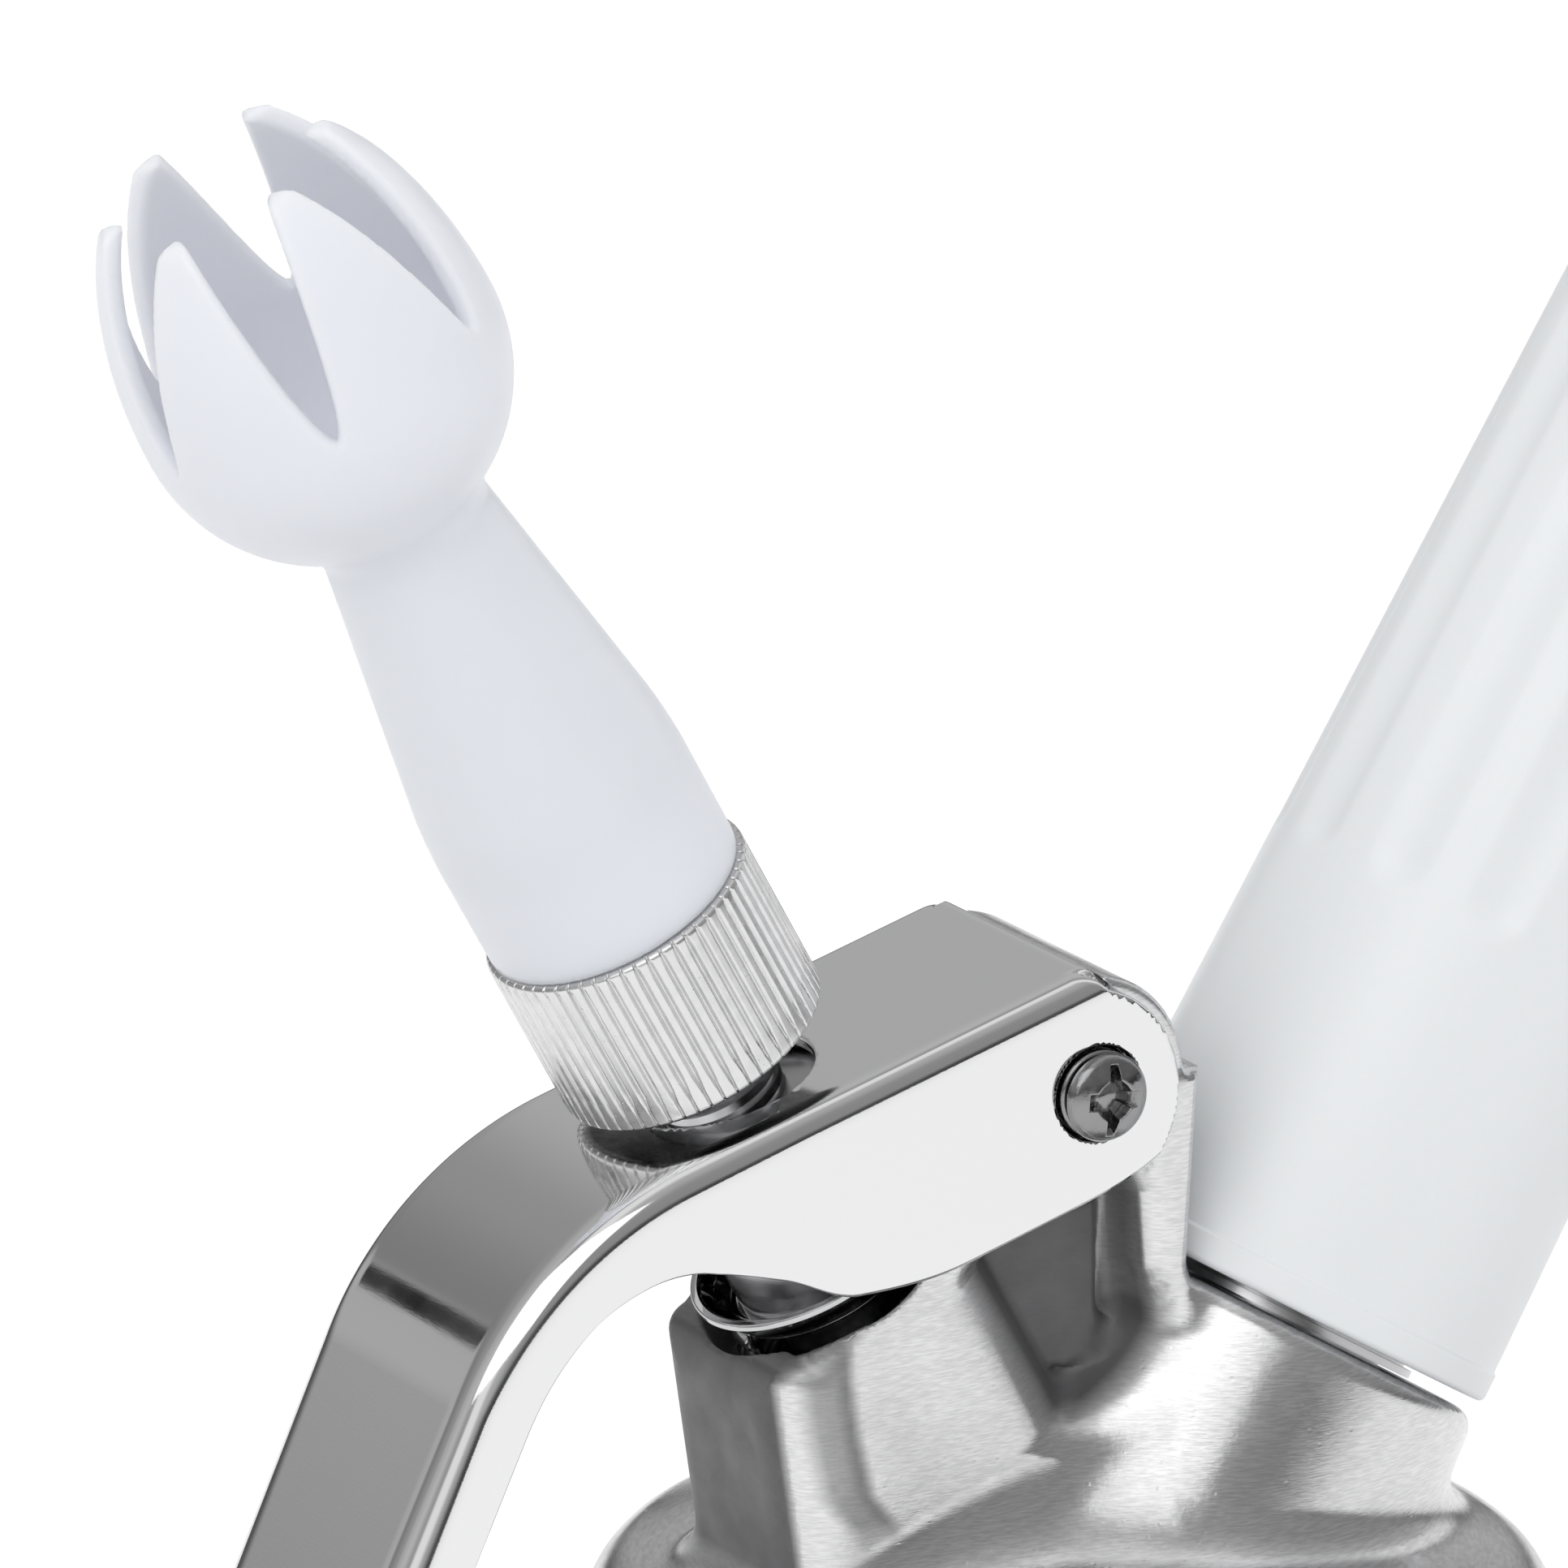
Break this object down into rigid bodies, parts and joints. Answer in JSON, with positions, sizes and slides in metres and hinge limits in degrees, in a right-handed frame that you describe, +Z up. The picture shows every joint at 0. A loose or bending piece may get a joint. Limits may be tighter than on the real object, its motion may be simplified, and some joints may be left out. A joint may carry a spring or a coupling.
{
  "type": "whipped cream dispenser",
  "caption": "Upright aluminium bottle under a cast head with a squeeze lever, a dispensing valve carrying a tulip decorating tip, and a screwed gas charger holder.",
  "frame": {"origin": "centre of the bottle's base, on the surface it stands on", "axes": "+Z up along the bottle; +X towards the charger holder, -X towards the decorating tip and the lever's handle; the lever's pivot runs along Y"},
  "size_m": [0.1446, 0.075, 0.3031],
  "materials": {
    "brushed_aluminium": "brushed round the body, satin",
    "cast_aluminium": "cast and polished, with a matte cast skin left in the pockets",
    "stainless_sheet": "satin polished sheet",
    "plated_steel": "plated, fairly bright",
    "turned_steel": "fine turned",
    "bright_chrome": "mirror polished",
    "knurled_aluminium": "bare, straight knurl",
    "white_plastic": "cool white, slightly glossy moulding",
    "holder_plastic": "white, slightly glossy moulding",
    "seal_rubber": "matte black"
  },
  "bodies": {
    "bottle": {"bottle": "brushed_aluminium"},
    "head": {"head_casting": "cast_aluminium", "head_gasket": "seal_rubber", "pivot_bush": "plated_steel", "pivot_screw": "plated_steel", "pivot_nut": "plated_steel", "guide_bush": "white_plastic", "return_spring": "plated_steel", "pin_holder": "turned_steel", "piercing_pin": "turned_steel", "charger_gasket": "seal_rubber", "check_valve": "seal_rubber"},
    "lever": {"lever": "stainless_sheet"},
    "valve": {"valve_stem": "turned_steel", "stem_o_rings": "seal_rubber", "valve_seal": "seal_rubber", "seal_nut": "turned_steel", "spring_cup": "bright_chrome"},
    "tip": {"knurled_insert": "knurled_aluminium", "tip_washer": "seal_rubber", "decorating_tip": "white_plastic"},
    "charger_holder": {"charger_holder": "holder_plastic", "holder_insert": "turned_steel", "charger": "plated_steel"}
  },
  "joints": [
    {"name": "head_lift", "type": "slide", "parent": "bottle", "child": "head", "axis": [0, 0, 1], "range_m": [0, 0.06]},
    {"name": "lever_pivot", "type": "hinge", "parent": "head", "child": "lever", "pos_m": [-0.00415, 0, 0.23593], "axis": [0, -1, 0], "range_deg": [0, 12], "stiffness_Nm_per_rad": 0.9, "springref_deg": -18.33},
    {"name": "valve_slide", "type": "slide", "parent": "head", "child": "valve", "axis": [0.4879, 0, -0.8729], "range_m": [0, 0.0027], "deforming": ["return_spring"]},
    {"name": "tip_unscrew", "type": "slide", "parent": "valve", "child": "tip", "axis": [-0.4879, 0, 0.8729], "range_m": [0, 0.03]},
    {"name": "holder_unscrew", "type": "slide", "parent": "head", "child": "charger_holder", "axis": [0.518, 0, 0.8554], "range_m": [0, 0.03]}
  ],
  "couplings": [
    {"joint": "valve_slide", "follows": "lever_pivot", "m_per_rad": 0.0125}
  ]
}
